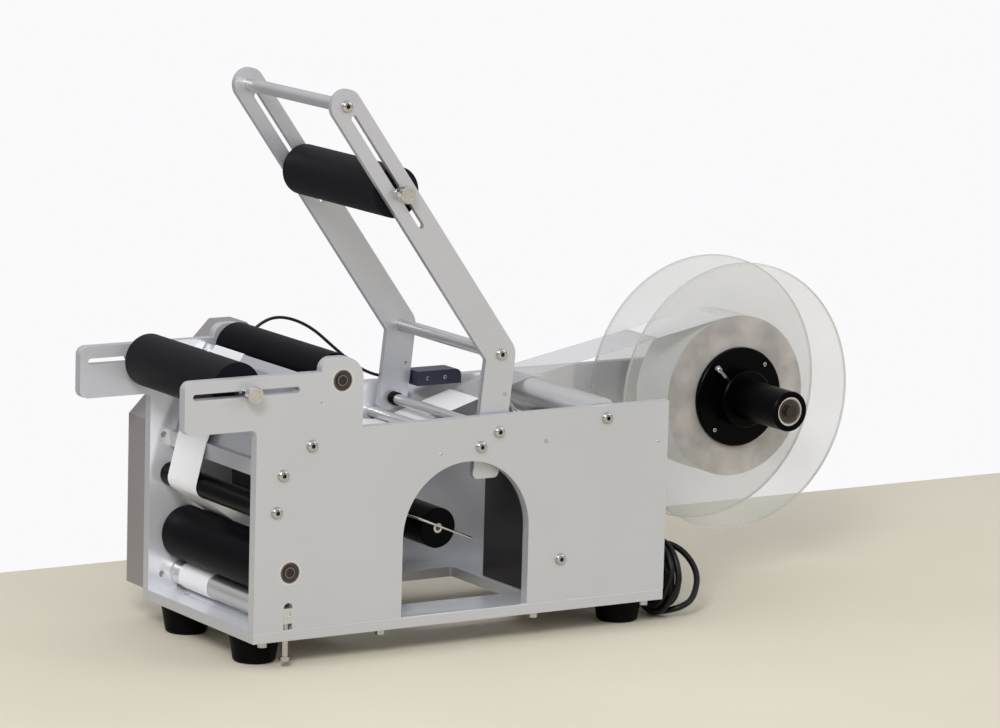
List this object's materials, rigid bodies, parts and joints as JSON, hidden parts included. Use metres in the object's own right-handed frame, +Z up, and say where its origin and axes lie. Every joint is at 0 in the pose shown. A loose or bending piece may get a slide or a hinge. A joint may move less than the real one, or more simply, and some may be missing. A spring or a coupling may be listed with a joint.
{
  "type": "bottle labelling machine",
  "caption": "Bench-top labeller for round bottles: side plates with a roller bed, sprung press arm, peel plate, pull and rewind rollers and a label reel with clear discs.",
  "frame": {"origin": "centre of the base plate, on the plane of the four feet", "axes": "+X from the bottle rollers towards the label reel, +Y from the open front side plate to the rear one, +Z up"},
  "size_m": [0.809, 0.2616, 0.5195],
  "materials": {
    "plate_aluminium": "fine satin, anodised",
    "cover_grey": "satin grey-brown paint",
    "machined_aluminium": "turned",
    "black_rubber": "smooth matt",
    "bright_steel": "bright zinc or stainless",
    "black_anodised": "black anodised, satin",
    "clear_acrylic": "clear sheet",
    "white_paper": "smooth white",
    "kraft_card": "wound edge, mottled",
    "blue_plastic": "satin",
    "black_plastic": "satin",
    "black_cord": "PVC sheath"
  },
  "bodies": {
    "frame": {"base_plate": "plate_aluminium", "front_side_plate": "plate_aluminium", "rear_side_plate": "plate_aluminium", "rubber_feet": "black_rubber", "base_screws": "bright_steel", "rear_cover": "cover_grey", "button_screws": "bright_steel", "cross_rods": "machined_aluminium", "pinch_blocks": "machined_aluminium", "peel_plate": "machined_aluminium", "ball_bearings": "bright_steel", "pivot_collars": "black_anodised", "lift_spring": "bright_steel", "frame_spring_pin": "bright_steel", "reel_shaft": "bright_steel", "label_sensor": "blue_plastic", "sensor_cable": "black_cord", "motor": "black_anodised", "timing_belts": "black_rubber", "control_box": "black_plastic", "cord_gland": "black_plastic", "power_cord": "black_cord", "cord_hank": "black_cord", "power_plug": "black_cord", "label_web": "white_paper"},
    "drive_roller": {"drive_shaft": "bright_steel", "drive_roller_sleeve": "black_rubber", "drive_pulley": "machined_aluminium"},
    "pull_roller": {"pull_shaft": "bright_steel", "pull_roller_sleeve": "black_rubber", "pull_pulley": "machined_aluminium"},
    "pinch_roller": {"pinch_roller": "machined_aluminium"},
    "motor_rotor": {"motor_shaft": "bright_steel", "motor_pulley": "machined_aluminium"},
    "rewind": {"rewind_shaft": "black_anodised", "rewind_pulley": "machined_aluminium", "rewind_clip": "bright_steel", "wound_liner": "white_paper"},
    "guide_roller": {"guide_roller": "black_anodised"},
    "top_web_roller": {"top_web_roller": "machined_aluminium"},
    "bottle_roller_carriage": {"bottle_roller_axle": "machined_aluminium"},
    "bottle_roller": {"bottle_roller_sleeve": "black_rubber"},
    "bottle_knobs": {"bottle_roller_knobs": "bright_steel"},
    "press_arm": {"press_arm_front_bar": "plate_aluminium", "press_arm_rear_bar": "plate_aluminium", "press_arm_tie_tubes": "machined_aluminium", "arm_screws": "bright_steel", "arm_spring_pin": "bright_steel"},
    "press_roller_carriage": {"press_roller_axle": "machined_aluminium"},
    "press_roller": {"press_roller_sleeve": "black_rubber"},
    "press_knobs": {"press_roller_knobs": "bright_steel"},
    "reel": {"reel_core_tube": "black_anodised", "reel_bearings": "bright_steel", "reel_rear_disc": "clear_acrylic", "cardboard_core": "kraft_card", "label_roll": "kraft_card"},
    "reel_front": {"reel_front_disc": "clear_acrylic", "reel_hub": "black_anodised"},
    "hub_screw": {"hub_thumb_screw": "bright_steel"},
    "power_switch": {"power_switch": "black_plastic"}
  },
  "joints": [
    {"name": "drive_roller_spin", "type": "hinge", "parent": "frame", "child": "drive_roller", "pos_m": [-0.133, 0, 0.259], "axis": [0, 1, 0], "continuous": true},
    {"name": "pull_roller_spin", "type": "hinge", "parent": "frame", "child": "pull_roller", "pos_m": [-0.1835, 0, 0.0875], "axis": [0, 1, 0], "continuous": true},
    {"name": "pinch_roller_spin", "type": "hinge", "parent": "frame", "child": "pinch_roller", "pos_m": [-0.1847, 0, 0.04902], "axis": [0, 1, 0], "continuous": true},
    {"name": "motor_shaft_spin", "type": "hinge", "parent": "frame", "child": "motor_rotor", "pos_m": [-0.105, 0, 0.138], "axis": [0, 1, 0], "continuous": true},
    {"name": "rewind_spin", "type": "hinge", "parent": "frame", "child": "rewind", "pos_m": [0.001, 0, 0.103], "axis": [0, 1, 0], "continuous": true},
    {"name": "guide_roller_spin", "type": "hinge", "parent": "frame", "child": "guide_roller", "pos_m": [-0.1985, 0, 0.1435], "axis": [0, 1, 0], "continuous": true},
    {"name": "top_web_roller_spin", "type": "hinge", "parent": "frame", "child": "top_web_roller", "pos_m": [0.1512, 0, 0.2036], "axis": [0, 1, 0], "continuous": true},
    {"name": "bottle_roller_slide", "type": "slide", "parent": "frame", "child": "bottle_roller_carriage", "axis": [1, 0, 0], "range_m": [-0.053, 0.03]},
    {"name": "bottle_roller_spin", "type": "hinge", "parent": "bottle_roller_carriage", "child": "bottle_roller", "pos_m": [-0.229, 0, 0.254], "axis": [0, 1, 0], "continuous": true},
    {"name": "bottle_knobs_turn", "type": "hinge", "parent": "bottle_roller_carriage", "child": "bottle_knobs", "pos_m": [-0.229, 0, 0.254], "axis": [0, 1, 0], "range_deg": [0, 360]},
    {"name": "press_arm_hinge", "type": "hinge", "parent": "frame", "child": "press_arm", "pos_m": [0.0335, 0, 0.1994], "axis": [0, -1, 0], "range_deg": [0, 36], "stiffness_Nm_per_rad": 1.3, "springref_deg": -63.03, "deforming": ["lift_spring"]},
    {"name": "press_roller_slide", "type": "slide", "parent": "press_arm", "child": "press_roller_carriage", "axis": [0.5838, 0, -0.8119], "range_m": [-0.069, 0.037]},
    {"name": "press_roller_spin", "type": "hinge", "parent": "press_roller_carriage", "child": "press_roller", "pos_m": [-0.06973, 0, 0.42298], "axis": [0, 1, 0], "continuous": true},
    {"name": "press_knobs_turn", "type": "hinge", "parent": "press_roller_carriage", "child": "press_knobs", "pos_m": [-0.06973, 0, 0.42298], "axis": [0, 1, 0], "range_deg": [0, 360]},
    {"name": "reel_spin", "type": "hinge", "parent": "frame", "child": "reel", "pos_m": [0.385, 0, 0.186], "axis": [0, 1, 0], "continuous": true},
    {"name": "reel_front_slide", "type": "slide", "parent": "reel", "child": "reel_front", "axis": [0, -1, 0], "range_m": [0, 0.06]},
    {"name": "hub_screw_turn", "type": "hinge", "parent": "reel_front", "child": "hub_screw", "pos_m": [0.385, 0.0092, 0.186], "axis": [-0.7071, 0, 0.7071], "range_deg": [0, 360]},
    {"name": "power_switch_rock", "type": "hinge", "parent": "frame", "child": "power_switch", "pos_m": [0.216, -0.0455, 0.097], "axis": [0, 1, 0], "range_deg": [0, 12]}
  ],
  "couplings": [
    {"joint": "pull_roller_spin", "follows": "drive_roller_spin", "ratio": 0.8889},
    {"joint": "motor_shaft_spin", "follows": "drive_roller_spin", "ratio": 1},
    {"joint": "rewind_spin", "follows": "drive_roller_spin", "ratio": 1.2308},
    {"joint": "pinch_roller_spin", "follows": "drive_roller_spin", "ratio": -1.8815},
    {"joint": "guide_roller_spin", "follows": "drive_roller_spin", "ratio": -2.0525},
    {"joint": "top_web_roller_spin", "follows": "drive_roller_spin", "ratio": -1.2902}
  ]
}
